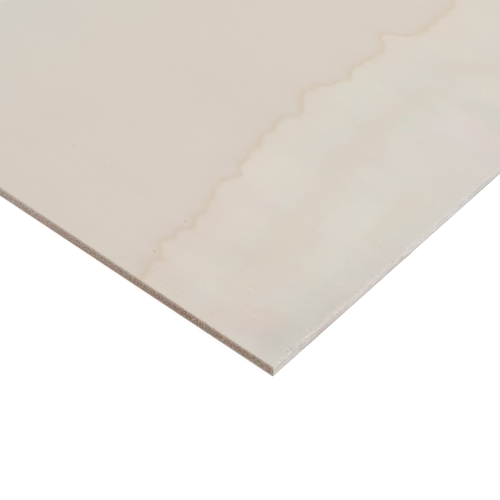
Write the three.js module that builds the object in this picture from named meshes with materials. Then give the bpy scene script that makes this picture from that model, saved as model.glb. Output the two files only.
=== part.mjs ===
// A thin sheet of three-ply plywood, lying flat on its back veneer.
// Millimetres, +Z up. The origin is under the middle of the sheet, on the surface it lies on.

import * as THREE from "three";

// The board as it is sold.
const LENGTH = 1220; // X, along the grain of the face veneer
const WIDTH = 610; // Y, across the grain of the face veneer

// Its veneers, from the top down. Glued and pressed, they are one solid board.
const FACE_VENEER = 1.2; // grain along X
const CORE_VENEER = 2.6; // grain along Y
const BACK_VENEER = 1.2; // grain along X

// The saw leaves the edges square, with the arrises above and below barely rubbed off.
const ARRIS_RADIUS = 0.2;
const ARRIS_STEPS = 3; // flats in the quarter round of an arris

const THICKNESS = FACE_VENEER + CORE_VENEER + BACK_VENEER;

const bareWood = new THREE.MeshStandardMaterial({
  color: 0xd7cec3,
  roughness: 0.8,
  metalness: 0,
});

// A rectangle centred on the origin, its corners as sharp as two saw cuts leave them.
function rectangle(length, width) {
  return new THREE.Shape([
    new THREE.Vector2(-length / 2, -width / 2),
    new THREE.Vector2(length / 2, -width / 2),
    new THREE.Vector2(length / 2, width / 2),
    new THREE.Vector2(-length / 2, width / 2),
  ]);
}

// The outline is drawn inside the finished size by the arris radius,
// and the bevel brings the edge faces out to it.
function boardGeometry() {
  const outline = rectangle(LENGTH - 2 * ARRIS_RADIUS, WIDTH - 2 * ARRIS_RADIUS);
  return new THREE.ExtrudeGeometry(outline, {
    depth: THICKNESS - 2 * ARRIS_RADIUS,
    bevelThickness: ARRIS_RADIUS,
    bevelSize: ARRIS_RADIUS,
    bevelSegments: ARRIS_STEPS,
  });
}

const board = new THREE.Mesh(boardGeometry(), bareWood);
board.name = "plywood_sheet";
board.position.z = ARRIS_RADIUS;

const plywood = new THREE.Group();
plywood.add(board);

export default plywood;
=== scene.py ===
"""A thin sheet of three-ply poplar plywood on a pale studio floor."""

import math

import bmesh
import bpy
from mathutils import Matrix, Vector, noise


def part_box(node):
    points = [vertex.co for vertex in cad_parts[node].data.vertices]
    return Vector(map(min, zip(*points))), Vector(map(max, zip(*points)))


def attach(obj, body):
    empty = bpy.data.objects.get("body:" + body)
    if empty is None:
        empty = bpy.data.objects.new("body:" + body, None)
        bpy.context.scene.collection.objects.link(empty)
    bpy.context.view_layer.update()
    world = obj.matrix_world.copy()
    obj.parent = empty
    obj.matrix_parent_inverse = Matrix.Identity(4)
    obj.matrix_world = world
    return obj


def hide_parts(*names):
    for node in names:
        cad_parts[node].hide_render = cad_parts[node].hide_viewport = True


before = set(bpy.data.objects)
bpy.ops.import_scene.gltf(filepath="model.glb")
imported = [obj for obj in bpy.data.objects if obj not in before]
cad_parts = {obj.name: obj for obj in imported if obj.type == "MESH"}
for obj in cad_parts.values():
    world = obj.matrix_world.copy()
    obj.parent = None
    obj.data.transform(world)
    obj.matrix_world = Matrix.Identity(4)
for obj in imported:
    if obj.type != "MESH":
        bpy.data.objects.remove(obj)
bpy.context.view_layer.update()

MM = 0.001
EVEN = 1e6  # a lump of noise this large is even all over the board

# The board, as packed. Its face veneer's grain runs along X.
LOW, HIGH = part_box("plywood_sheet")
LENGTH, WIDTH, THICKNESS = ((b - a) / MM for a, b in zip(LOW, HIGH))
FACE_VENEER = 1.2
BACK_VENEER = 1.2
FACE_GLUE = THICKNESS - FACE_VENEER  # heights of the two glue lines over the back
BACK_GLUE = BACK_VENEER

# The sawn edges. All sizes on the board are in millimetres.
ARRIS_RADIUS = 0.15
ARRIS_FLATS = 2
END_PITCH = 0.65  # width of the columns of faces across the ends, and along the sides
SIDE_PITCH = 1.3
TEAR_ROWS = (0.45, 0.9, 1.5, 2.3, 3.4, 4.8)  # rows of faces along an end, by distance in from it
EDGE_LEVELS = (0.35, 0.8, BACK_GLUE, 1.5, 2.1, 2.8, 3.4, FACE_GLUE, 4.1, 4.5, 4.75)
TEAR_REACH = 3.0  # how far a torn fibre reaches in from an end
FACE_TEAR = 0.35  # how deep it goes
BACK_TEAR = 0.02
PIT_START = 0.42  # where smooth noise is above this, a pit starts in the core
SAME_PLACE = 1e-7  # vertices nearer than this to a cutting plane are on it, in metres

# Stretches of the right end by the near corner that the saw tore: from, to, how badly. Past the
# last place that is given here, and on the left end, the tears come at random.
TORN_STRETCHES = ((4, 24, 0.85), (28, 42, 0.65), (46, 50, 0.6), (54, 60, 0.45), (77, 84, 0.25),
                  (112, 122, 0.2))
TORN_TO = 150.0

# The pits that the mesh has get painted shade through this vertex layer.
PIT_SHADE_MASK = "pit"  # the vertex layer that says where pits are

# Material slots of the board.
FACE, BACK, SIDE_CUT, END_CUT = range(4)


# ---------------------------------------------------------------- camera and studio

def direction(heading, elevation):
    """The way that points heading degrees round from X and elevation degrees up."""
    turn, climb = math.radians(heading), math.radians(elevation)
    level = math.cos(climb)
    return Vector((math.cos(turn) * level, math.sin(turn) * level, math.sin(climb)))


def add_object(name, data):
    """An object at the origin, in the scene."""
    made = bpy.data.objects.new(name, data)
    bpy.context.scene.collection.objects.link(made)
    return made


def find_node(tree, kind):
    return next(n for n in tree.nodes if n.type == kind)


def mesh_from(bm, name):
    """Turns the built shape into a mesh, and frees it."""
    mesh = bpy.data.meshes.new(name)
    bm.to_mesh(mesh)
    bm.free()
    return mesh


def make_camera():
    """Looks down over the near right corner of the board with a long lens."""
    gaze = direction(131.05, -45.43)
    distance = 0.602
    aim_from_end = 0.04442
    aim_from_side = 0.03858
    aim = Vector((HIGH.x - aim_from_end, LOW.y + aim_from_side, HIGH.z))
    camera = add_object("camera", bpy.data.cameras.new("camera"))
    camera.data.lens = 114.6
    camera.data.clip_start = 0.01
    camera.location = aim - gaze * distance
    camera.rotation_mode = "QUATERNION"
    camera.rotation_quaternion = gaze.to_track_quat("-Z", "Y")
    bpy.context.scene.camera = camera


def softbox(name, heading, elevation, distance, size, power):
    """A square lamp that faces the middle of the board."""
    lamp = bpy.data.lights.new(name, "AREA")
    lamp.shape = "SQUARE"
    lamp.size = size
    lamp.energy = power
    towards = direction(heading, elevation)
    holder = add_object(name, lamp)
    holder.location = towards * distance
    holder.rotation_mode = "QUATERNION"
    holder.rotation_quaternion = towards.to_track_quat("Z", "Y")
    holder.visible_camera = False


# ---------------------------------------------------------------- wiring of materials

class Wiring:
    """Adds nodes to one tree. An input is given a value, or a socket to be linked to."""

    def __init__(self, tree):
        self.tree = tree

    def feed(self, socket, source):
        if isinstance(source, bpy.types.NodeSocket):
            self.tree.links.new(source, socket)
        elif socket.type == "RGBA" and len(source) == 3:
            socket.default_value = (*source, 1.0)
        else:
            socket.default_value = source

    def node(self, kind, inputs, **settings):
        made = self.tree.nodes.new(kind)
        for name, value in settings.items():
            setattr(made, name, value)
        for place, source in inputs.items():
            self.feed(made.inputs[place], source)
        return made

    def math(self, operation, a, b=0.0, c=0.0, clamp=False):
        made = self.node("ShaderNodeMath", {0: a, 1: b, 2: c}, operation=operation, use_clamp=clamp)
        return made.outputs[0]

    def plus(self, a, b):
        return self.math("ADD", a, b)

    def minus(self, a, b):
        return self.math("SUBTRACT", a, b)

    def times(self, a, b):
        return self.math("MULTIPLY", a, b)

    def vector(self, operation, a, b):
        return self.node("ShaderNodeVectorMath", {0: a, 1: b}, operation=operation).outputs[0]

    def join(self, x, y, z):
        return self.node("ShaderNodeCombineXYZ", {0: x, 1: y, 2: z}).outputs[0]

    def split(self, vector):
        return self.node("ShaderNodeSeparateXYZ", {0: vector}).outputs

    def split_colour(self, colour):
        return self.node("ShaderNodeSeparateColor", {0: colour}).outputs

    def step(self, value, start, end, low=0.0, high=1.0):
        """Rises smoothly from low to high as value goes from start to end."""
        inputs = {0: value, 1: start, 2: end, 3: low, 4: high}
        made = self.node("ShaderNodeMapRange", inputs, interpolation_type="SMOOTHSTEP")
        return made.outputs[0]

    def noise(self, place, sizes=None, detail=2.0, roughness=0.5):
        """Noise with lumps of the given sizes along X, Y and Z."""
        if sizes:
            place = self.vector("DIVIDE", place, sizes)
        inputs = {"Vector": place, "Scale": 1.0, "Detail": detail, "Roughness": roughness}
        return self.node("ShaderNodeTexNoise", inputs).outputs[0]

    def ramp(self, value, stops):
        """Colours at places from 0 to 1."""
        made = self.node("ShaderNodeValToRGB", {0: value})
        elements = made.color_ramp.elements
        while len(elements) < len(stops):
            elements.new(0.5)
        for element, (place, colour) in zip(elements, stops):
            element.position = place
            element.color = (*colour, 1.0)
        return made.outputs[0]

    def mix(self, factor, a, b, blend="MIX"):
        made = self.node("ShaderNodeMix", {}, data_type="RGBA", blend_type=blend)
        self.feed(made.inputs[0], factor)
        self.feed(made.inputs[6], a)
        self.feed(made.inputs[7], b)
        return made.outputs[2]

    def raise_grain(self, shader, height, strength, distance):
        """Gives a shader a relief from a value, at most distance metres deep."""
        inputs = {"Height": height, "Strength": strength, "Distance": distance}
        self.feed(shader.inputs["Normal"], self.node("ShaderNodeBump", inputs).outputs[0])

    def group(self, tree, **inputs):
        """Places a node group. An input's name has _ for each space."""
        made = self.node("ShaderNodeGroup", {}, node_tree=tree)
        for name, source in inputs.items():
            self.feed(made.inputs[name.replace("_", " ")], source)
        return made.outputs


def new_group(name, inputs, outputs):
    """An empty node group: its tree, its wiring, its inputs' sockets and its outputs' sockets."""
    tree = bpy.data.node_groups.new(name, "ShaderNodeTree")
    for label, kind in inputs.items():
        tree.interface.new_socket(label, in_out="INPUT", socket_type="NodeSocket" + kind)
    for label, kind in outputs.items():
        tree.interface.new_socket(label, in_out="OUTPUT", socket_type="NodeSocket" + kind)
    wiring = Wiring(tree)
    given = wiring.node("NodeGroupInput", {}).outputs
    out = wiring.node("NodeGroupOutput", {}).inputs
    return tree, wiring, given, out


# ---------------------------------------------------------------- wood figure

def make_fibre_group():
    """Streaks that run along X, with their usual length and width in millimetres."""
    tree, w, given, out = new_group(
        "wood fibre",
        {"Place": "Vector", "Run": "Float", "Pitch": "Float", "Seed": "Float"},
        {"Streak": "Float"},
    )
    stretch = w.join(given["Run"], given["Pitch"], given["Pitch"])
    streaks = w.vector("DIVIDE", given["Place"], stretch)
    moved = w.vector("ADD", streaks, w.join(given["Seed"], given["Seed"], given["Seed"]))
    w.feed(out["Streak"], w.noise(moved, detail=3.0, roughness=0.55))
    return tree


def make_patch_group():
    """A soft patch with its middle and half sizes in millimetres. It has single numbers for inputs
    because a shader can hold few vectors at once."""
    tree, w, given, out = new_group(
        "soft patch",
        {"Along": "Float", "Across": "Float", "Middle Along": "Float", "Middle Across": "Float",
         "Half Length": "Float", "Half Width": "Float", "Softness": "Float"},
        {"Mask": "Float"},
    )
    cubes = []
    for place, middle, half in (("Along", "Middle Along", "Half Length"),
                                ("Across", "Middle Across", "Half Width")):
        away = w.math("DIVIDE", w.minus(given[place], given[middle]), given[half])
        cubes.append(w.math("POWER", w.math("ABSOLUTE", away), 3.0))
    reach = w.math("POWER", w.plus(*cubes), 1 / 3)
    soft = given["Softness"]
    w.feed(out["Mask"], w.step(reach, w.plus(1.0, soft), w.minus(1.0, soft)))
    return tree


# The growth line nearest the right end: millimetres along that end from the near corner,
# and millimetres in from the end.
GROWTH_LINE = (
    (0, 65), (6, 66.8), (9, 68.4), (11.2, 68.1), (12.7, 66.3), (15, 68.8), (17, 70.2), (19.2, 73.2),
    (22.5, 71.8), (25.2, 70.8), (27.8, 72.6), (33.5, 69), (38.5, 72), (42, 71.4), (47.5, 73.8),
    (50, 74.2), (57, 77.6), (61.5, 77.4), (66, 75.4), (69, 76.1), (72, 78.8), (77, 79.2), (81, 81),
    (85.5, 81), (93, 83.6), (96, 82.4), (99, 83.9), (103, 84.5), (108, 83), (110.7, 81),
    (117, 84.4), (121, 87.2), (124, 88), (126.5, 87), (131.2, 86.3), (134.2, 83.2), (139, 82.2),
    (142, 80),
)
LINE_SPAN = 142.0  # the stretch that the route above covers
LINE_NEAR, LINE_FAR = 60.0, 90.0  # the band that it stays in
RING_SPACING = 232.0  # from one growth line to the next
RING_BEFORE = 80.0  # how far past a line, away from the end, its ring starts


def make_growth_group():
    """Where the knife passed from one ring of the log to the next. Offset is the distance from
    the last line, in millimetres, positive on the line's pale side, towards the right end."""
    tree, w, given, out = new_group(
        "growth rings",
        {"Place": "Vector"},
        {"Offset": "Float"},
    )
    place = w.split(given["Place"])
    from_end = w.minus(LENGTH / 2, place[0])
    from_side = w.plus(place[1], WIDTH / 2)

    share = w.math("DIVIDE", from_side, LINE_SPAN, clamp=True)
    curve = w.node("ShaderNodeFloatCurve", {"Value": share})
    points = curve.mapping.curves[0].points
    while len(points) < len(GROWTH_LINE):
        points.new(0.5, 0.5)
    for point, (along, inwards) in zip(points, GROWTH_LINE):
        point.location = (along / LINE_SPAN, (inwards - LINE_NEAR) / (LINE_FAR - LINE_NEAR))
    curve.mapping.update()
    drawn = w.math("MULTIPLY_ADD", curve.outputs[0], LINE_FAR - LINE_NEAR, LINE_NEAR)

    # Past the drawn stretch, and on the other lines, the same kind of wiggle from noise.
    ragged = w.noise(given["Place"], (240.0, 20.0, 1.0), detail=3.0, roughness=0.38)
    wiggle = w.math("MULTIPLY_ADD", w.minus(ragged, 0.5), 44.0, 78.0)
    near = w.times(w.step(from_side, LINE_SPAN - 6, LINE_SPAN + 10, 1.0, 0.0),
                   w.step(from_end, 130.0, 190.0, 1.0, 0.0))
    route = w.node("ShaderNodeMix", {0: near, 2: wiggle, 3: drawn}, data_type="FLOAT").outputs[0]
    jagged = w.noise(given["Place"], (6.0, 2.0, 1.0), detail=2.0)
    route = w.math("MULTIPLY_ADD", w.minus(jagged, 0.5), 1.6, route)

    # Away from the corner the rings swing far along the grain.
    swing = w.noise(given["Place"], (950.0, 100.0, 1.0), detail=1.0, roughness=0.4)
    corner = w.math("MAXIMUM", w.step(from_end, 150.0, 560.0), w.step(from_side, 165.0, 480.0))
    amount = w.times(corner, 700.0)
    swung = w.times(w.minus(swing, 0.5), amount)

    plain = w.plus(w.minus(route, from_end), swung)
    ring = w.math("FLOORED_MODULO", w.plus(plain, RING_BEFORE), RING_SPACING)
    w.feed(out["Offset"], w.minus(ring, RING_BEFORE))
    return tree


def make_pin_group():
    """Scattered pin marks, short and thin along X. Share is how many cells have one."""
    tree, w, given, out = new_group(
        "pin marks",
        {"Place": "Vector", "Spacing": "Float", "Half Length": "Float", "Half Width": "Float",
         "Share": "Float"},
        {"Mask": "Float"},
    )
    spacing = given["Spacing"]
    cells = w.node(
        "ShaderNodeTexVoronoi",
        {"Vector": w.vector("DIVIDE", given["Place"], w.join(spacing, spacing, EVEN)),
         "Scale": 1.0, "Randomness": 0.9},
        voronoi_dimensions="2D",
    )
    middle = w.vector("MULTIPLY", cells.outputs["Position"], w.join(spacing, spacing, 0.0))
    away = w.split(w.vector("SUBTRACT", given["Place"], middle))
    along = w.math("DIVIDE", away[0], given["Half Length"])
    across = w.math("DIVIDE", away[1], given["Half Width"])
    square = w.plus(w.times(along, along), w.times(across, across))
    reach = w.math("SQRT", square)
    chosen = w.math("LESS_THAN", w.split_colour(cells.outputs["Color"])[0], given["Share"])
    w.feed(out["Mask"], w.times(chosen, w.step(reach, 1.3, 0.5)))
    return tree


def make_cut_group():
    """Which veneer a spot on a sawn edge is in, from its height over the back: 1 in the core, and
    1 on a glue line. The glue lines wander a little."""
    tree, w, given, out = new_group(
        "veneers",
        {"Place": "Vector"},
        {"Core": "Float", "Back": "Float", "Glue": "Float"},
    )
    drift = w.noise(given["Place"], (14.0, 14.0, EVEN), detail=2.0)
    height = w.math("MULTIPLY_ADD", w.minus(drift, 0.5), 0.35, w.split(given["Place"])[2])
    over_back = w.step(height, BACK_GLUE - 0.1, BACK_GLUE + 0.1)
    under_face = w.step(height, FACE_GLUE + 0.1, FACE_GLUE - 0.1)
    lines = [w.step(w.math("ABSOLUTE", w.minus(height, level)), 0.11, 0.03)
             for level in (BACK_GLUE, FACE_GLUE)]
    w.feed(out["Core"], w.times(over_back, under_face))
    w.feed(out["Back"], w.minus(1.0, over_back))
    w.feed(out["Glue"], w.math("MAXIMUM", *lines))
    return tree


def make_tear_group():
    """Damage that a saw does along an end: pale loose flecks, and masks for painted shade in
    pits and in thin cracks between chips. Worst is 1 on the stretches that are torn most."""
    tree, w, given, out = new_group(
        "saw tears",
        {"Place": "Vector"},
        {"Worst": "Float", "Flecks": "Float", "Pit_Shade": "Float", "Crack_Shade": "Float"},
    )
    place = given["Place"]
    parts = w.split(place)
    from_side = w.plus(parts[1], WIDTH / 2)
    known = 0.0
    for start, end, amount in TORN_STRETCHES:
        begun = w.step(from_side, start - 2, start + 2)
        inside = w.times(begun, w.step(from_side, end + 2, end - 2))
        known = w.math("MAXIMUM", known, w.times(inside, amount))
    right_half = w.math("GREATER_THAN", parts[0], 0.0)
    drawn = w.times(w.step(from_side, TORN_TO + 8, TORN_TO - 8), right_half)
    broad = w.step(w.noise(place, (EVEN, 15.0, EVEN), detail=2.0), 0.42, 0.66)
    worst = w.node("ShaderNodeMix", {0: drawn, 2: broad, 3: known}, data_type="FLOAT").outputs[0]
    w.feed(out["Worst"], worst)
    flecks = w.noise(place, (1.0, 1.3, 0.7), detail=3.0, roughness=0.6)
    w.feed(out["Flecks"], w.step(flecks, w.math("MULTIPLY_ADD", worst, -0.12, 0.63), 0.70))
    pits = w.noise(place, (0.55, 0.5, 0.5), detail=1.0)
    clusters = w.step(w.noise(place, (4.0, 5.0, 4.0)), 0.48, 0.58)
    holes = w.step(pits, w.math("MULTIPLY_ADD", worst, -0.03, 0.64), 0.70)
    w.feed(out["Pit_Shade"], w.times(holes, clusters))
    chips = w.node(
        "ShaderNodeTexVoronoi",
        {"Vector": w.vector("DIVIDE", place, (1.6, 2.6, 1.2)), "Scale": 1.0, "Randomness": 1.0},
        feature="DISTANCE_TO_EDGE",
    )
    w.feed(out["Crack_Shade"], w.times(w.step(chips.outputs["Distance"], 0.11, 0.03), worst))
    return tree


FIBRE = make_fibre_group()
PATCH = make_patch_group()
GROWTH = make_growth_group()
PINS = make_pin_group()
VENEERS = make_cut_group()
TEARS = make_tear_group()


# ---------------------------------------------------------------- finishes

EXPOSURE = 0.94  # reflectance over brightness on a flat face


def tone(red, green, blue):
    """A colour as the eye names it, 0 to 255, as a reflectance under the studio's light."""
    def linear(value):
        value /= 255
        return value / 12.92 if value <= 0.04045 else ((value + 0.055) / 1.055) ** 2.4
    return tuple(EXPOSURE * linear(v) for v in (red, green, blue))


HEARTWOOD = tone(215, 206, 194.5)
# Across a growth line, from the dark wood before it to the pale wood past it, in millimetres.
RING_TONES = (
    (-16, HEARTWOOD),
    (-8, tone(214, 204.5, 194)),
    (-4, tone(213.5, 203, 192.5)),
    (-1.8, tone(213, 202, 190.5)),
    (-0.8, tone(212.5, 201, 187)),
    (0, tone(212, 200, 184)),
    (0.8, tone(214, 202, 187)),
    (1.8, tone(217, 206, 193.5)),
    (4.5, tone(217.5, 208, 197)),
    (12, tone(216, 208.5, 197.5)),
    (24, tone(214, 208, 198)),
    (32, tone(214, 205.5, 194.5)),
    (40, tone(213.5, 205.5, 195)),
    (48, tone(213.5, 207.5, 198)),
    (57, tone(214, 208.5, 199)),
    (72, tone(212.5, 206.5, 196.5)),
    (81, tone(211.5, 206, 197)),
    (140, HEARTWOOD),
)
WARM = (0.053, -0.016, -0.0555)  # what one part of warmth does to red, green and blue
ROSE = (0.010, -0.016, 0.011)

# Colours of marks and of sawn wood. Where there are two, the wood varies between them.
LINE_STAINS = tone(206, 192, 164), tone(208, 187, 168)
BACK_TINT = tone(205, 197, 186)
PIN_STAIN = tone(218, 184, 132)
SPECK = tone(120, 108, 98)
CHIP = tone(230, 219, 208)
LOOSE_FIBRE = tone(224, 218, 212)
FACE_FLECK = tone(221, 214, 208)
# Painted shade in pits by the ends, on the face.
FACE_PIT_SHADE = tone(146, 128, 116)
SIDE_SKINS = tone(157, 139, 124), tone(212, 197, 182)
SIDE_BACKS = tone(133, 119, 106), tone(198, 184, 172)
SIDE_CORES = tone(97, 72, 55), tone(212, 190, 175)
SIDE_FLUFF = tone(236, 216, 198)
SIDE_GLUE = tone(108, 84, 68)
SIDE_FIBRE = tone(228, 212, 198)
# Painted shade in the pits of the sides' cuts.
SIDE_PIT_SHADE = tone(84, 62, 48)
END_SKINS = tone(192.5, 186.5, 180.5), tone(209.5, 204.5, 199.5)
END_BACKS = tone(172, 166, 161), tone(198, 193, 189)
END_CORES = tone(183, 177, 171), tone(208, 203, 198)
END_BLUSH = tone(194, 178, 164)
END_GLUE = tone(140, 122, 110)
END_FLECK = tone(221, 215, 210)
# Painted shade in the pits and cracks of the ends' cuts.
END_PIT_SHADE = tone(132, 112, 100)

BACK_FIGURE_SHIFT = (-390.0, 260.0, 0.0)  # the back veneer comes from another part of the log
LEVEL = 0.0108  # one 255th of brightness, on wood as pale as the face

# Soft patches of tone on the face by the near right corner: distance in from the right end,
# distance in from the near side, half length along the grain, half width across it, softness,
# and how much lighter, warmer and rosier the wood is there.
FACE_PATCHES = (
    (41, 31, 25, 34, 0.12, -1.0, 0.20, 0.0),
    (62, 77.5, 15, 12.5, 0.22, 2.2, -0.10, 0.0),
    (57, 77.5, 6, 10, 0.4, -0.8, 0.25, 0.0),
    (25, 78, 7.5, 13, 0.35, 2.5, -0.05, 0.0),
    (31, 102, 10, 5, 0.35, 1.5, 0.0, 0.0),
    (40, 76, 6, 24, 0.5, 0.9, 0.15, 0.0),
    (52, 127, 5, 26, 0.5, -0.7, 0.25, 0.5),
    (44, 113, 5, 9, 0.5, 0.0, 0.2, 0.7),
    (33, 149, 9, 8, 0.5, 2.0, -0.1, 0.0),
    (20, 53, 6, 8, 0.4, 1.4, -0.1, 0.0),
    (22, 46, 6, 12, 0.5, -1.2, 0.05, 0.1),
    (24, 150, 16, 9, 0.5, 0.6, -0.1, 0.6),
    (8, 140, 28, 14, 0.4, 0.0, 0.0, 1.0),
    (74, 142, 8, 10, 0.4, 0.8, -0.4, -0.8),
    (46, 154, 14, 9, 0.5, -0.9, -0.1, -0.5),
    (45, 136.5, 4, 5, 0.5, 0.4, -0.4, -1.4),
    (56, 20, 11, 4.5, 0.5, 1.3, 0.1, 0.0),
    (62, 8, 9, 6, 0.5, -1.4, 0.1, 0.1),
    (40, 20, 8, 8, 0.5, 0.9, -0.03, -0.5),
    (45, 35, 6, 5, 0.5, -1.6, 0.15, 0.0),
    (35, 28, 4, 6, 0.5, 1.0, -0.05, -0.2),
    (40, 37, 8, 4, 0.5, -1.0, 0.0, 0.0),
    (38, 11, 7, 6, 0.5, 1.6, -0.2, 0.1),
    (68, 32, 5, 34, 0.5, -1.2, 0.10, 0.0),
    (55, 49, 9, 8, 0.5, 2.2, 0.1, 0.0),
    (60, 62, 5, 6, 0.5, 0.0, 0.35, 0.7),
    (25, 10, 7, 8, 0.5, 0.0, 0.25, 0.4),
    (12, 22, 5, 4, 0.5, 1.2, -0.1, -0.6),
    (1, 35, 3, 9, 0.5, -2.5, 0.0, 0.0),
    (14, 13, 9, 10, 0.6, -3.6, 0.7, 0.65),
    (4, 14, 7, 9, 0.5, -1.6, -0.3, -0.45),
    (8, 54, 7, 7, 0.5, 2.0, 0.05, 0.0),
    (7, 3, 11, 6, 0.6, 1.8, 0.0, -0.3),
    (66, 0.5, 7, 4.5, 0.5, 1.6, -0.15, 0.0),
    (2, 23, 13, 31, 0.6, -5.8, -0.10, 0.0),
    (2, 66, 9, 17, 0.6, -2.2, 0.05, 0.3),
    (15, 90, 4, 17, 0.5, -1.0, 0.35, 0.0),
    (7, 115, 9, 6, 0.5, -1.4, 0.0, 0.2),
    (11, 132, 7, 5, 0.5, 1.2, -0.1, 0.0),
    (22, 162, 12, 7, 0.5, -3.0, -0.1, 0.2),
    (75.5, 67.5, 4, 4, 0.5, 0.6, -0.3, 0.2),
    (76, 100, 5, 6, 0.5, 1.2, 0.0, 0.0),
    (85, 69, 4, 6, 0.5, -1.8, 0.0, 0.0),
    (83, 106, 5, 8, 0.5, 0.4, -0.45, 0.0),
    (100, 2, 140, 10, 0.6, -1.6, 0.0, 0.2),
    (158, 28, 14, 28, 0.5, -1.1, 0.0, 0.1),
    (106, 36, 20, 4, 0.5, -1.1, 0.0, 0.0),
    (125, 17, 10, 5, 0.5, -1.0, 0.0, 0.0),
    (120, 20, 70, 36, 0.6, -0.3, 0.0, 0.3),
    (108, 104, 30, 20, 0.6, -1.2, 0.05, 0.1),
)

# The same on the near side's cut, by distance in from the right end and height over the back.
SIDE_PATCHES = (
    (24, 2.3, 44, 2.6, 0.5, -5.0, 0.5, 0.0),
    (5, 4.25, 12, 0.65, 0.5, -9.0, 0.2, 0.0),
    (14, 4.95, 20, 0.3, 0.5, 4.0, 0.0, 0.0),
    (36, 4.2, 14, 0.7, 0.5, -4.0, 0.3, 0.4),
    (44, 2.6, 5, 1.6, 0.5, -3.0, 0.4, 0.6),
    (76, 4.1, 11, 0.7, 0.5, -3.5, 0.0, -0.3),
    (77, 4.95, 10, 0.3, 0.5, 5.0, 0.0, 0.0),
    (108, 4.3, 16, 0.8, 0.5, -4.0, 0.0, 0.3),
    (60, 4.7, 28, 0.5, 0.5, 5.0, 0.0, 0.0),
    (90, 0.3, 50, 0.8, 0.5, -5.5, 1.1, 0.0),
    (80, 0.0, 40, 0.4, 0.5, -2.0, 1.8, -0.4),
    (33, 2.1, 28, 0.9, 0.5, -6.5, 0.2, 0.0),
    (110, 2.3, 9, 2.0, 0.5, 0.0, 0.2, 1.2),
    (44, 4.1, 22, 0.6, 0.5, -4.0, 0.0, 0.0),
    (132, 2.4, 27, 2.8, 0.5, 9.0, -0.8, 0.0),
    (12, 0.6, 16, 0.6, 0.5, 8.0, -0.3, 0.0),
    (37.5, 1.9, 5, 0.9, 0.5, -4.5, 0.0, 0.0),
    (53.5, 1.9, 5, 0.9, 0.5, -3.0, 0.0, 0.0),
    (102, 3.2, 5, 0.8, 0.5, 2.0, 0.5, 0.0),
    (109, 3.4, 5, 1.0, 0.5, -2.5, 0.2, 0.6),
)

# The same on the right end's cut, by distance in from the near side and height over the back.
END_PATCHES = (
    (14, 2.3, 30, 1.9, 0.5, -7.0, 0.0, 0.0),
    (26, 1.0, 10, 1.1, 0.5, -7.0, 0.05, 0.2),
    (7, 0.8, 9, 0.7, 0.5, 5.0, 0.0, 0.0),
    (8, 3.4, 9, 1.0, 0.5, -3.0, 0.0, 0.0),
    (38, 1.6, 5, 1.4, 0.5, -3.0, 0.4, 0.8),
    (24, 3.3, 3, 0.5, 0.5, -6.0, 0.5, 0.5),
    (26, 2.0, 2.2, 1.2, 0.5, -5.5, 0.2, 0.6),
    (33, 2.2, 7, 1.4, 0.5, -1.5, 0.3, 0.2),
    (66, 1.4, 20, 1.0, 0.5, -5.0, 0.15, 0.0),
    (79, 0.6, 2.5, 0.45, 0.4, -20.0, 0.3, 0.0),
    (75, 1.5, 1.4, 1.1, 0.5, -4.0, 0.5, 1.6),
    (60, 1.3, 1.4, 0.8, 0.5, -2.0, 0.3, 2.0),
    (102, 2.2, 20, 1.8, 0.5, -0.5, -0.3, 0.5),
    (114, 3.0, 16, 1.3, 0.5, -3.0, 0.0, 0.0),
    (102, 0.9, 20, 0.7, 0.5, 5.0, 0.0, 0.0),
    (128, 1.8, 9, 1.8, 0.5, -8.0, -0.3, -0.5),
    (2.4, 2.5, 2.2, 1.4, 0.5, -5.0, 0.9, 0.0),
    (4, 1.4, 6, 1.4, 0.5, 2.5, -0.15, -0.7),
    (37, 0.9, 4, 0.6, 0.5, 3.0, 0.35, -0.6),
    (45.5, 1.9, 4, 0.8, 0.5, 3.0, 0.0, -0.6),
    (70, 2.5, 4.5, 2.4, 0.5, -4.5, 0.2, 0.0),
    (78, 1.7, 3.5, 1.2, 0.5, 4.5, -0.25, 0.3),
    (86, 0.9, 6, 0.6, 0.5, 2.5, -0.4, -0.3),
)
SIDE_LEVEL = 0.0146  # one 255th of brightness, on wood as dark as the sides' cuts

DRAWN_TO = 150.0  # how far from the near right corner the patches and marks below reach
FAR_OFF = 5000.0  # farther off than any of them
MARK_SOFTNESS = 0.5

# Pin marks near the corner: distances in from the right end and the near side, half length,
# half width, strength.
PIN_MARKS = (
    (73.2, 34, 1.2, 0.5, 0.34),
    (71.4, 14.1, 1.2, 0.45, 0.45),
)

# Dark specks by the corner, given in the same way. The first two are the hearts of the pin marks.
SPECKS = (
    (73.1, 33.9, 0.8, 0.28, 0.17),
    (71, 14.3, 0.5, 0.35, 0.20),
    (74.4, 67.9, 0.36, 0.34, 0.34),
    (137.2, 36.5, 0.4, 0.4, 0.20),
    (34, 5, 0.35, 0.35, 0.18),
    (49.4, 3.2, 0.5, 0.3, 0.16),
    (12, 58, 0.35, 0.35, 0.18),
    (44.9, 136.5, 0.4, 0.3, 0.16),
    (11, 32, 0.4, 0.3, 0.16),
    (30.1, 22.3, 0.4, 0.35, 0.14),
    (78.4, 3.5, 0.5, 0.3, 0.16),
    (117.8, 38.2, 0.5, 0.3, 0.12),
    (11.2, 73.0, 0.35, 0.35, 0.12),
)

# Pale chips by the corner, given in the same way.
CHIPS = (
    (31.0, 23.3, 0.45, 0.6, 0.42),
    (120.0, 38.8, 0.5, 0.35, 0.45),
    (18.8, 58.0, 0.4, 0.4, 0.4),
    (124.2, 48.2, 0.5, 0.3, 0.4),
    (7.0, 23.5, 0.4, 0.4, 0.35),
    (23.0, 88.5, 0.4, 0.4, 0.35),
    (72.5, 13.9, 0.35, 0.3, 0.5),
    (79.5, 4.4, 0.7, 0.35, 0.4),
    (74.4, 17.7, 0.35, 0.5, 0.4),
    (93.2, 12.0, 0.6, 0.25, 0.4),
    (64.9, 7.7, 0.3, 0.4, 0.35),
    (58, 4.0, 0.6, 0.3, 0.3),
    (40, 2.2, 0.8, 0.3, 0.3),
    (104, 33, 0.6, 0.25, 0.3),
)
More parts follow.
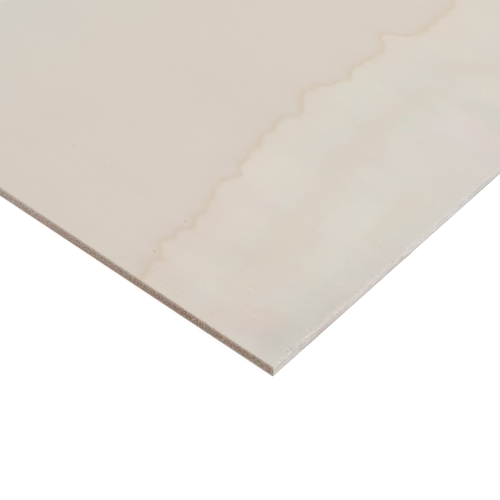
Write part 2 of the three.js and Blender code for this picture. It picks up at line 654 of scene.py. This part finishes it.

# Painted shade of pits along the right end: distance in from the near side, climb from the
# bottom of the cut, half width, half height, strength. The climb goes on over the arris and in
# along the face.
END_PIT_SHADES = (
    (14.7, 4.6, 0.28, 0.3, 0.4),
    (15.7, 4.2, 0.28, 0.35, 0.4),
    (15.2, 2.9, 0.35, 0.25, 0.2),
    (18.0, 4.6, 0.25, 0.3, 0.24),
    (21.6, 3.6, 0.9, 0.3, 0.25),
    (33.3, 4.1, 0.3, 0.4, 0.42),
    (30.1, 2.7, 0.3, 0.5, 0.22),
    (48.8, 4.1, 0.25, 0.4, 0.24),
    (69.5, 5.0, 0.3, 0.4, 0.2),
    (113.0, 2.6, 0.4, 0.5, 0.22),
    (20.4, 0.9, 0.5, 0.4, 0.2),
    (42.2, 3.1, 0.4, 0.3, 0.2),
    (75.0, 2.1, 0.4, 0.4, 0.18),
    (9.0, 6.0, 0.4, 0.3, 0.34),
    (10.9, 5.8, 0.6, 0.25, 0.24),
    (22.3, 6.1, 0.3, 0.3, 0.18),
    (22.9, 6.7, 0.3, 0.3, 0.3),
    (33.5, 5.2, 0.3, 0.3, 0.45),
    (48.1, 5.2, 0.3, 0.3, 0.34),
    (58.1, 5.5, 0.3, 0.3, 0.16),
)

# Loose pale fibres on the near side's cut: distance in from the right end, height over the back,
# half length, half height, strength.
SIDE_FIBRES = (
    (11.3, 2.3, 0.35, 0.22, 0.45),
    (19.0, 1.4, 0.4, 0.22, 0.5),
    (24.1, 1.6, 0.45, 0.25, 0.75),
    (29.3, 4.0, 0.4, 0.2, 0.5),
    (33.0, 2.5, 0.45, 0.3, 0.75),
    (38.3, 2.5, 0.45, 0.3, 0.8),
    (41.0, 1.3, 0.35, 0.22, 0.4),
    (42.8, 0.9, 0.4, 0.25, 0.5),
    (45.0, 1.8, 0.35, 0.22, 0.5),
    (79.0, 1.3, 0.4, 0.25, 0.5),
    (125.5, 2.8, 0.5, 0.3, 0.5),
    (134.0, 1.6, 0.5, 0.3, 0.6),
)

# Loose pale fibres along the right end, given in the way of its pits.
END_FIBRES = (
    (3.4, 5.3, 0.7, 0.3, 0.3),
    (6.1, 4.9, 0.6, 0.35, 0.6),
    (8.3, 4.5, 0.4, 0.5, 0.5),
    (16.6, 5.4, 0.7, 0.4, 0.7),
    (18.4, 5.4, 0.8, 0.35, 0.9),
    (19.8, 5.2, 0.8, 0.35, 0.9),
    (22.8, 4.6, 0.7, 0.4, 0.5),
    (31.0, 4.0, 0.4, 0.3, 0.35),
    (40.0, 4.3, 0.5, 0.4, 0.35),
    (47.2, 4.5, 0.5, 0.4, 0.45),
    (55.0, 4.8, 0.5, 0.4, 0.35),
    (59.3, 4.8, 0.5, 0.6, 0.5),
    (79.0, 5.3, 0.5, 0.3, 0.25),
    (82.0, 5.2, 0.5, 0.3, 0.5),
    (96.5, 5.2, 0.6, 0.3, 0.5),
    (20.2, 2.1, 0.4, 0.3, 0.5),
    (77.3, 2.1, 0.4, 0.3, 0.5),
    (117.3, 2.1, 0.4, 0.3, 0.45),
)


def begin_material(name, roughness):
    """A material whose Principled shader is ready, with a place in millimetres on the board."""
    material = bpy.data.materials.new(name)
    material.use_nodes = True
    tree = material.node_tree
    w = Wiring(tree)
    shader = find_node(tree, "BSDF_PRINCIPLED")
    shader.inputs["Roughness"].default_value = roughness
    shader.inputs["Specular IOR Level"].default_value = 0.25
    place = w.vector("MULTIPLY", w.node("ShaderNodeTexCoord", {}).outputs["Object"], (1000.0,) * 3)
    return material, w, shader, place


def lighten(w, colour, factor, warmth=0.0, rose=0.0):
    """Multiplies a colour by one plus factor, and shifts its hue."""
    parts = []
    for warm, rosy in zip(WARM, ROSE):
        part = w.math("MULTIPLY_ADD", warmth, warm, w.plus(1.0, factor))
        parts.append(w.math("MULTIPLY_ADD", rose, rosy, part))
    tint = w.node("ShaderNodeCombineColor", dict(enumerate(parts))).outputs[0]
    return w.mix(1.0, colour, tint, "MULTIPLY")


def centred(w, value, amount):
    """Turns a noise value into a change of at most half amount either way."""
    return w.times(w.minus(value, 0.5), amount)


def soft_patch(w, along, across, middle, half_sizes, softness):
    """A mask that is 1 in the patch and fades out round it."""
    return w.group(PATCH, Along=along, Across=across, Middle_Along=middle[0],
                   Middle_Across=middle[1], Half_Length=half_sizes[0], Half_Width=half_sizes[1],
                   Softness=softness)["Mask"]


def add_patches(w, along, across, patches, level, change, warmth, rose):
    """Adds soft patches to how much lighter, warmer and rosier a surface is."""
    for x, y, half_length, half_width, softness, lighter, warmer, rosier in patches:
        patch = soft_patch(w, along, across, (x, y), (half_length, half_width), softness)
        change = w.math("MULTIPLY_ADD", patch, lighter * level, change)
        if warmer:
            warmth = w.math("MULTIPLY_ADD", patch, warmer, warmth)
        if rosier:
            rose = w.math("MULTIPLY_ADD", patch, rosier, rose)
    return change, warmth, rose


def add_marks(w, along, across, marks, depth=0.0):
    """Adds small marks to a mask."""
    for x, y, half_length, half_width, strong in marks:
        mark = soft_patch(w, along, across, (x, y), (half_length, half_width), MARK_SOFTNESS)
        depth = w.math("MULTIPLY_ADD", mark, strong, depth)
    return depth


def from_corner(w, place):
    """Distances in from the right end and from the near side, and the height over the back."""
    parts = w.split(place)
    return w.minus(LENGTH / 2, parts[0]), w.plus(parts[1], WIDTH / 2), parts[2]


def face_finish(name, drawn_corner):
    """Sanded rotary-cut veneer: growth rings, patches of tone, fibre and pin marks."""
    material, w, shader, place = begin_material(name, 0.62)
    from_right, from_near, _ = from_corner(w, place)
    figure = place if drawn_corner else w.vector("ADD", place, BACK_FIGURE_SHIFT)
    offset = w.group(GROWTH, Place=figure)["Offset"]
    start = RING_TONES[0][0]
    span = RING_TONES[-1][0] - start
    level = w.math("DIVIDE", w.minus(offset, start), span, clamp=True)
    colour = w.ramp(level, [((mm - start) / span, c) for mm, c in RING_TONES])

    # The line soaks into the wood before it, more in some places than in others.
    soak = w.noise(figure, (11.0, 7.0, 1.0), detail=2.0)
    reach = w.step(soak, 0.35, 0.70, 1.6, 4.2)
    stain = w.step(w.math("ABSOLUTE", w.plus(offset, 0.5)), reach, 0.2)
    age = w.noise(figure, (40.0, 6.0, 1.0), detail=2.0)
    stained = w.mix(w.step(age, 0.40, 0.60), *LINE_STAINS)
    colour = w.mix(w.times(stain, w.step(age, 0.30, 0.70, 0.10, 0.28)), colour, stained)

    # Bands of figure along the grain, stronger in the pale wood past a growth line.
    sap = w.times(w.step(offset, -2.0, 6.0), w.step(offset, 130.0, 70.0))
    bands = w.group(FIBRE, Place=figure, Run=60.0, Pitch=13.0, Seed=3.1)["Streak"]
    bands = w.step(bands, 0.38, 0.62)
    strength = w.math("MULTIPLY_ADD", sap, 0.010, 0.004)
    change = centred(w, bands, strength)
    lively = w.math("MULTIPLY_ADD", sap, 0.7, 0.3)
    warmth = centred(w, w.noise(figure, (30.0, 17.0, EVEN), detail=3.0), 1.1)
    warmth = w.times(warmth, lively)
    rose = centred(w, w.noise(figure, (47.0, 33.0, EVEN), detail=2.0), 2.0)
    rose = w.times(rose, lively)
    flecks = w.noise(figure, (9.0, 5.0, EVEN), detail=3.0)
    change = w.plus(change, centred(w, flecks, 0.016))

    if drawn_corner:
        warp = w.node("ShaderNodeTexNoise", {"Vector": place, "Scale": 0.11, "Detail": 3.0})
        sway, heave, _ = w.split_colour(warp.outputs["Color"])
        along = w.plus(from_right, centred(w, sway, -14.0))
        across = w.plus(from_near, centred(w, heave, 7.0))
        change, warmth, rose = add_patches(w, along, across, FACE_PATCHES, LEVEL,
                                           change, warmth, rose)

    # Fine fibre and pores, and scuffs in clusters, more of them by the ends.
    from_end = w.minus(LENGTH / 2, w.math("ABSOLUTE", w.split(place)[0]))
    fine = w.group(FIBRE, Place=figure, Run=9.0, Pitch=0.55, Seed=7.7)["Streak"]
    hair = w.group(FIBRE, Place=figure, Run=2.2, Pitch=0.16, Seed=1.3)["Streak"]
    change = w.plus(change, centred(w, fine, 0.045))
    change = w.plus(change, centred(w, hair, 0.045))
    scuffs = w.noise(figure, (1.4, 0.9, EVEN), detail=1.0)
    scuffs = w.minus(w.step(scuffs, 0.60, 0.70), w.step(scuffs, 0.40, 0.30))
    clusters = w.noise(figure, (9.0, 7.0, 1.0), detail=2.0)
    clusters = w.plus(clusters, w.step(from_end, 14.0, 2.0, 0.0, 0.08))
    scuffed = w.times(scuffs, w.step(clusters, 0.48, 0.62, 0.0, 0.05))
    change = w.math("MULTIPLY_ADD", scuffed, lively, change)
    colour = lighten(w, colour, change, warmth, rose)

    pins = w.group(PINS, Place=figure, Spacing=34.0, Half_Length=0.8, Half_Width=0.22,
                   Share=0.3)["Mask"]
    if drawn_corner:
        past = [w.step(away, DRAWN_TO, DRAWN_TO + 6) for away in (from_right, from_near)]
        pins = w.times(pins, w.math("MAXIMUM", *past))
    else:
        colour = w.mix(0.4, colour, BACK_TINT)
    stain = w.times(pins, 0.3)
    specks = w.times(pins, 0.06)
    if drawn_corner:
        stain = add_marks(w, from_right, from_near, PIN_MARKS, stain)
        specks = add_marks(w, from_right, from_near, SPECKS, specks)
        colour = w.mix(add_marks(w, from_right, from_near, CHIPS), colour, CHIP)
    colour = w.mix(stain, colour, PIN_STAIN)
    colour = w.mix(specks, colour, SPECK)

    # Torn fibre along the ends: pale flecks on and inside the arris, and painted shade in pits.
    damage = w.group(TEARS, Place=place)
    reach = w.math("MULTIPLY_ADD", damage["Worst"], 3.0, 0.7)
    near = w.step(w.math("DIVIDE", from_end, reach), 1.0, 0.2)
    pale = w.times(near, damage["Flecks"])
    colour = w.mix(w.times(pale, 0.7), colour, FACE_FLECK)
    # Painted shade in small pits by the arris.
    pit_shade = w.times(w.times(near, damage["Pit_Shade"]), 0.5)
    if drawn_corner:
        climb = w.plus(from_right, THICKNESS)
        colour = w.mix(add_marks(w, from_near, climb, END_FIBRES), colour, LOOSE_FIBRE)
        pit_shade = add_marks(w, from_near, climb, END_PIT_SHADES, pit_shade)
    colour = w.mix(pit_shade, colour, FACE_PIT_SHADE)

    w.feed(shader.inputs["Base Color"], colour)
    w.feed(shader.inputs["Roughness"], w.math("MULTIPLY_ADD", fine, 0.16, 0.56))
    w.raise_grain(shader, w.plus(fine, hair), 0.35, 0.00004)
    return material


def turned(w, place):
    """The same place with X and Y swapped, for grain that runs along Y."""
    parts = w.split(place)
    return w.join(parts[1], parts[0], parts[2])


def soften(w, value, amount):
    """Brings a value from 0 to 1 nearer to its middle."""
    return w.math("MULTIPLY_ADD", w.minus(value, 0.5), amount, 0.5)


def elsewhere(w, coordinate, sign):
    """Adds enough to a place to leave the drawn patches behind, on the far side of the board."""
    beyond = w.math("GREATER_THAN", w.times(coordinate, sign), 0.0)
    return w.times(beyond, FAR_OFF)


def side_finish():
    """The sawn sides: long grain in the face and back veneers, and the core's end grain."""
    material, w, shader, place = begin_material("sawn_side", 0.85)
    from_right, _, height = from_corner(w, place)
    along = w.plus(from_right, elsewhere(w, w.split(place)[1], 1.0))
    sharp = w.step(along, 70.0, 35.0, 0.72, 1.0)  # the saw left the fibres raised by the corner
    veneers = w.group(VENEERS, Place=place)
    streak = w.group(FIBRE, Place=place, Run=1.0, Pitch=0.24, Seed=2.0)["Streak"]
    fibre = soften(w, w.step(streak, 0.30, 0.70), sharp)
    calmed = soften(w, fibre, w.step(along, 105.0, 65.0, 0.65, 1.0))
    skin = w.mix(calmed, *SIDE_SKINS)
    back = w.mix(fibre, *SIDE_BACKS)
    skin = w.mix(veneers["Back"], skin, back)
    pores = w.noise(place, (0.7, 1.0, 0.5), detail=1.0)
    speckle = soften(w, w.step(pores, 0.36, 0.64), w.times(sharp, 0.85))
    core = w.mix(speckle, *SIDE_CORES)
    fluff = w.step(w.noise(place, (0.6, 1.0, 0.4), detail=2.0), 0.66, 0.71)
    core = w.mix(w.times(fluff, 0.9), core, SIDE_FLUFF)
    colour = w.mix(veneers["Core"], skin, core)
    colour = w.mix(w.times(veneers["Glue"], 0.2), colour, SIDE_GLUE)

    mottle = w.noise(place, (3.5, 9.0, 1.3), detail=3.0)
    # Painted highlight along the top of the cut, where the softbox lights the arris.
    rim_shading = w.step(height, THICKNESS - 0.9, THICKNESS - 0.1)
    change = w.math("MULTIPLY_ADD", rim_shading, 0.14, centred(w, mottle, 0.06))
    # Painted shade along the bottom of the cut, by the floor.
    change = w.math("MULTIPLY_ADD", w.step(height, 0.7, 0.1), -0.09, change)
    warmth = centred(w, w.noise(place, (3.0, 9.0, 1.6), detail=2.0), 2.0)
    rose = centred(w, w.noise(place, (6.0, 9.0, 3.0), detail=2.0), 12.0)
    flush = w.noise(place, (0.8, 9.0, 0.6), detail=2.0)
    rose = w.plus(rose, centred(w, flush, 30.0))
    change = w.math("MULTIPLY_ADD", rose, 0.005, change)  # so that hue alone varies
    change, warmth, rose = add_patches(w, along, height, SIDE_PATCHES, SIDE_LEVEL,
                                       change, warmth, rose)
    colour = lighten(w, colour, change, warmth, rose)
    colour = w.mix(add_marks(w, along, height, SIDE_FIBRES), colour, SIDE_FIBRE)

    # Painted shade in the pockets of the core that the mesh has.
    pits = w.node("ShaderNodeAttribute", {}, attribute_name=PIT_SHADE_MASK).outputs["Fac"]
    colour = w.mix(w.times(pits, 0.4), colour, SIDE_PIT_SHADE)
    w.feed(shader.inputs["Base Color"], colour)
    w.raise_grain(shader, w.plus(pores, streak), 0.7, 0.00015)
    return material


def end_finish():
    """The sawn ends: torn end grain in the face and back veneers, and the core's long grain."""
    material, w, shader, place = begin_material("sawn_end", 0.85)
    _, from_near, height = from_corner(w, place)
    veneers = w.group(VENEERS, Place=place)
    damage = w.group(TEARS, Place=place)
    pores = w.noise(place, (1.0, 0.4, 0.34), detail=3.0, roughness=0.65)
    pores = soften(w, pores, w.math("MULTIPLY_ADD", damage["Worst"], 1.2, 0.28))
    skin = w.mix(w.step(pores, 0.3, 0.7), *END_SKINS)
    back = w.mix(w.step(pores, 0.3, 0.7), *END_BACKS)
    skin = w.mix(veneers["Back"], skin, back)
    streak = w.group(FIBRE, Place=turned(w, place), Run=2.6, Pitch=0.24, Seed=5.0)["Streak"]
    blush = w.noise(place, (1.0, 5.0, 0.9), detail=3.0)
    core = w.mix(w.step(streak, 0.3, 0.7), *END_CORES)
    core = w.mix(w.times(w.step(blush, 0.58, 0.72), 0.22), core, END_BLUSH)
    colour = w.mix(veneers["Core"], skin, core)
    colour = w.mix(w.times(veneers["Glue"], 0.15), colour, END_GLUE)

    # Splintered wood is rougher, paler on its loose fibres, with painted shade in pits and cracks.
    crumbs = w.noise(place, (3.0, 0.6, 0.45), detail=1.0)
    rough = w.times(centred(w, w.step(crumbs, 0.36, 0.64), 0.16), damage["Worst"])
    # Painted shade along the top of the cut, to dim the arris where the softbox lights it.
    rim_shading = w.step(height, THICKNESS - 0.45, THICKNESS - 0.05)
    change = w.math("MULTIPLY_ADD", rim_shading, -0.09, rough)
    # Painted contact shadow along the bottom of the cut, by the floor.
    change = w.math("MULTIPLY_ADD", w.step(height, 0.3, 0.0), -0.24, change)
    warmth = centred(w, w.noise(place, (9.0, 5.0, 1.8), detail=2.0), 0.9)
    rose = centred(w, w.noise(place, (9.0, 7.0, 2.6), detail=2.0), 4.0)
    across = w.plus(from_near, elsewhere(w, w.split(place)[0], -1.0))
    change, warmth, rose = add_patches(w, across, height, END_PATCHES, LEVEL,
                                       change, warmth, rose)
    colour = lighten(w, colour, change, warmth, rose)

    near = w.step(height, THICKNESS - 2.6, THICKNESS - 0.3)
    colour = w.mix(w.times(near, damage["Flecks"]), colour, END_FLECK)
    # Painted shade in the thin cracks between chips.
    cracks = w.times(near, w.times(damage["Crack_Shade"], 0.6))
    colour = w.mix(add_marks(w, across, height, END_FIBRES), colour, LOOSE_FIBRE)
    # Painted shade in the pits: noise, the listed ones and the pockets that the mesh has.
    pits = w.node("ShaderNodeAttribute", {}, attribute_name=PIT_SHADE_MASK).outputs["Fac"]
    deep = w.math("MAXIMUM", w.math("MAXIMUM", damage["Pit_Shade"], cracks), pits)
    pit_shade = w.times(deep, 0.5)
    colour = w.mix(add_marks(w, across, height, END_PIT_SHADES, pit_shade), colour, END_PIT_SHADE)
    w.feed(shader.inputs["Base Color"], colour)
    w.raise_grain(shader, w.plus(pores, streak), 0.6, 0.0001)
    return material


# ---------------------------------------------------------------- the board

def sawn_blank():
    """The board's block with its arrises rubbed off."""
    bm = bmesh.new()
    bmesh.ops.create_cube(bm, size=1)
    bmesh.ops.scale(bm, verts=bm.verts, vec=HIGH - LOW)
    bmesh.ops.translate(bm, verts=bm.verts, vec=(LOW + HIGH) / 2)
    bmesh.ops.bevel(bm, geom=bm.edges[:], offset=ARRIS_RADIUS * MM, segments=ARRIS_FLATS,
                    profile=0.5, affect="EDGES", material=-1)
    return bm


def mark_cuts(bm):
    """Gives each face the slot of the surface it is on."""
    for f in bm.faces:
        if f.normal.z > 0.99:
            f.material_index = FACE
        elif f.normal.z < -0.99:
            f.material_index = BACK
        else:
            f.material_index = END_CUT if abs(f.normal.x) > abs(f.normal.y) else SIDE_CUT


def rule(bm, place, across):
    """Cuts every face that the plane through a place passes."""
    bmesh.ops.bisect_plane(bm, geom=bm.verts[:] + bm.edges[:] + bm.faces[:], dist=SAME_PLACE,
                           plane_co=place, plane_no=across)


def rule_rows(bm):
    """Rows of faces inwards from the ends, and levels of faces up the sawn edges."""
    for row in TEAR_ROWS:
        rule(bm, (HIGH.x - row * MM, 0, 0), (1, 0, 0))
        rule(bm, (LOW.x + row * MM, 0, 0), (1, 0, 0))
    for level in EDGE_LEVELS:
        rule(bm, (0, 0, level * MM), (0, 0, 1))


def divide_columns(bm):
    """Divides every row into columns of faces, along the sides and along the ends."""
    for axis, size, pitch in ((0, LENGTH, SIDE_PITCH), (1, WIDTH, END_PITCH)):
        long_edges = [e for e in bm.edges
                      if abs((e.verts[0].co - e.verts[1].co)[axis]) > 0.9 * size * MM]
        bmesh.ops.subdivide_edges(bm, edges=long_edges, cuts=round(size / pitch) - 1,
                                  use_grid_fill=True)


def clear_fields(bm):
    """Takes the two wide faces out while the rows round them are divided."""
    fields = [max((f for f in bm.faces if f.normal.z * up > 0.99), key=lambda f: f.calc_area())
              for up in (1, -1)]
    bmesh.ops.delete(bm, geom=fields, context="FACES_ONLY")


def fill_fields(bm):
    """Puts the two wide faces back, flat and each in its slot."""
    open_edges = [e for e in bm.edges if e.is_boundary]
    made = bmesh.ops.holes_fill(bm, edges=open_edges, sides=0)["faces"]
    for f in made:
        f.normal_update()
        f.smooth = False
        f.material_index = FACE if f.calc_center_median().z > THICKNESS * MM / 2 else BACK


# Where each surface lies on the board's texture map: left, bottom, width and height.
MAP_SIZE = 1024
FACE_PATCH = (8, 8, 1008, 520)
BACK_PATCH = (8, 538, 1008, 320)
FRONT_STRIP = (8, 868, 1008, 26)
REAR_STRIP = (8, 904, 1008, 26)
LEFT_STRIP = (8, 940, 1008, 26)
RIGHT_STRIP = (8, 976, 1008, 26)


def lay_out_map(bm):
    """Lays every surface flat on a texture map of its own."""
    layer = bm.loops.layers.uv.new("OFBake")
    for f in bm.faces:
        middle = f.calc_center_median()
        for loop in f.loops:
            x, y, z = loop.vert.co / MM
            along, across = x / LENGTH + 0.5, y / WIDTH + 0.5
            if f.material_index == FACE:
                loop[layer].uv = on_map(FACE_PATCH, along, across)
            elif f.material_index == BACK:
                loop[layer].uv = on_map(BACK_PATCH, along, across)
            elif f.material_index == SIDE_CUT:
                up = edge_height(z, WIDTH / 2 - abs(y))
                loop[layer].uv = on_map(REAR_STRIP if middle.y > 0 else FRONT_STRIP, along, up)
            else:
                up = edge_height(z, LENGTH / 2 - abs(x))
                loop[layer].uv = on_map(RIGHT_STRIP if middle.x > 0 else LEFT_STRIP, across, up)


def edge_height(z, inwards):
    """How far up a sawn edge a spot is, from 0 to 1, counting on over the rounded arrises."""
    height = z + inwards if z > THICKNESS / 2 else z - inwards
    return (height + ARRIS_RADIUS) / (THICKNESS + 2 * ARRIS_RADIUS)


def on_map(patch, across, up):
    """The place on the map of a spot that is so far across and up a surface, from 0 to 1."""
    left, bottom, width, height = patch
    return (left + width * across) / MAP_SIZE, (bottom + height * up) / MAP_SIZE


def wave(x, y, z, seed):
    """Smooth noise from -1 to 1 or so."""
    return noise.noise(Vector((x, y, z + seed)))


def drawn_tear(from_side):
    """How badly the right end is torn by the near corner."""
    worst = 0.0
    for start, end, amount in TORN_STRETCHES:
        begun = min(1.0, max(0.0, (from_side - start + 2) / 4))
        ended = min(1.0, max(0.0, (end + 2 - from_side) / 4))
        worst = max(worst, amount * begun * ended)
    return worst


def tear_at(y, end, over):
    """How badly the face veneer is torn at a place along an end, from 0 to 1."""
    seed = 40 * end + 17 * over
    fine = wave(y / 2.2, seed, 0, 9.5)
    hair = noise.cell(Vector((y / 0.8, seed, 3.5)))
    broad = 0.28 + 0.9 * wave(y / 17, seed, 0, 5.5)
    if end > 0 and y + WIDTH / 2 < TORN_TO:
        broad = 0.7 * drawn_tear(y + WIDTH / 2)
    ragged = 0.5 * fine + 0.45 * (hair - 0.5)
    return max(0.0, min(1.0, broad + min(1.0, 0.2 + 2 * broad) * ragged))


def roughen(bm):
    """Tears, saw marks and pits on the sawn edges, and a mask of the pits for painted shade."""
    pit = bm.verts.layers.float.new(PIT_SHADE_MASK)
    for v in bm.verts:
        x, y, z = v.co / MM
        from_end = LENGTH / 2 - abs(x)
        from_side = WIDTH / 2 - abs(y)
        end = 1 if x > 0 else -1
        over = z > THICKNESS / 2
        if from_end < TEAR_REACH and from_side > 0.5:
            tear_end(v, pit, from_end, end, over)
        elif from_side < 0.01 and from_end > 0.5:
            roughen_side(v, pit)


def tear_end(v, pit, from_end, end, over):
    """Sinks the face along an end where it is torn, and gives the end's cut its fuzz and pits."""
    _, y, z = v.co / MM
    tear = tear_at(y, end, over)
    reach = 0.4 + TEAR_REACH * tear * tear
    share = max(0.0, 1 - from_end / reach) * min(1.0, 2 * tear)
    skin = FACE_VENEER if over else BACK_VENEER
    from_skin = (THICKNESS - z) if over else z
    if from_skin < skin:
        sink = (FACE_TEAR if over else BACK_TEAR) * share * (1 - from_skin / skin)
        v.co.z += (-sink if over else sink) * MM
    if from_end < 0.01:
        fuzz = 0.01 + 0.01 * wave(y / 0.9, z / 0.5, 0, 21.5 * end)
        if BACK_GLUE < z < FACE_GLUE:
            pocket = wave(y / 5, z / 0.8, 0, 33.5 * end) - PIT_START - max(0.0, 0.45 - tear)
            if pocket > 0:
                fuzz += min(0.2, pocket)
                # Marks the pocket for painted shade.
                v[pit] = min(1.0, 4 * pocket)
        v.co.x -= end * fuzz * MM


def roughen_side(v, pit):
    """Gives a side's cut its saw marks, and pits in the core."""
    x, y, z = v.co / MM
    side = 1 if y > 0 else -1
    depth = 0.015 + 0.015 * wave(x / 3, z / 0.6, 0, 50.5 * side)
    if BACK_GLUE < z < FACE_GLUE:
        grain = wave(x / 1.3, z / 0.6, 0, 61.5 * side)
        depth += 0.03 + 0.035 * grain
        if grain > PIT_START:
            depth += 0.1
            # Marks the pit for painted shade.
            v[pit] = min(1.0, 4 * (grain - PIT_START))
    v.co.y -= side * depth * MM


def make_board():
    """The whole board: one mesh with a finish for each kind of surface."""
    bm = sawn_blank()
    mark_cuts(bm)
    rule_rows(bm)
    clear_fields(bm)
    divide_columns(bm)
    for f in bm.faces:
        f.smooth = True
    fill_fields(bm)
    lay_out_map(bm)
    roughen(bm)
    mesh = mesh_from(bm, "plywood_board")
    for finish in (face_finish("face_veneer", True), face_finish("back_veneer", False),
                   side_finish(), end_finish()):
        mesh.materials.append(finish)
    return add_object("plywood_board", mesh)


# ---------------------------------------------------------------- floor and light

FLOOR_SIZE = 12
FLOOR_GAP = 0.1 * MM  # keeps the floor from showing through the board's underside


def make_floor():
    """A pale paper floor that glows enough to be even."""
    bm = bmesh.new()
    bmesh.ops.create_grid(bm, x_segments=1, y_segments=1, size=FLOOR_SIZE)
    bmesh.ops.translate(bm, verts=bm.verts, vec=(0, 0, LOW.z - FLOOR_GAP))
    mesh = mesh_from(bm, "floor")
    paper = bpy.data.materials.new("pale_paper")
    paper.use_nodes = True
    shader = find_node(paper.node_tree, "BSDF_PRINCIPLED")
    shader.inputs["Base Color"].default_value = (0.35, 0.35, 0.35, 1)
    shader.inputs["Roughness"].default_value = 0.9
    shader.inputs["Specular IOR Level"].default_value = 0.1
    shader.inputs["Emission Color"].default_value = (1, 1, 1, 1)
    shader.inputs["Emission Strength"].default_value = 0.82
    mesh.materials.append(paper)
    add_object("floor", mesh)


def light_studio():
    """Soft light from all round, and one large softbox beyond the right end."""
    world = bpy.data.worlds.new("studio")
    world.use_nodes = True
    background = find_node(world.node_tree, "BACKGROUND")
    background.inputs["Color"].default_value = (1, 1, 1, 1)
    background.inputs["Strength"].default_value = 0.62
    bpy.context.scene.world = world
    softbox("key_softbox", heading=33, elevation=42, distance=6.0, size=3.2, power=241)


make_camera()
board = make_board()
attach(board, "root")
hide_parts("plywood_sheet")
make_floor()
light_studio()
bpy.context.scene.view_settings.view_transform = "Standard"
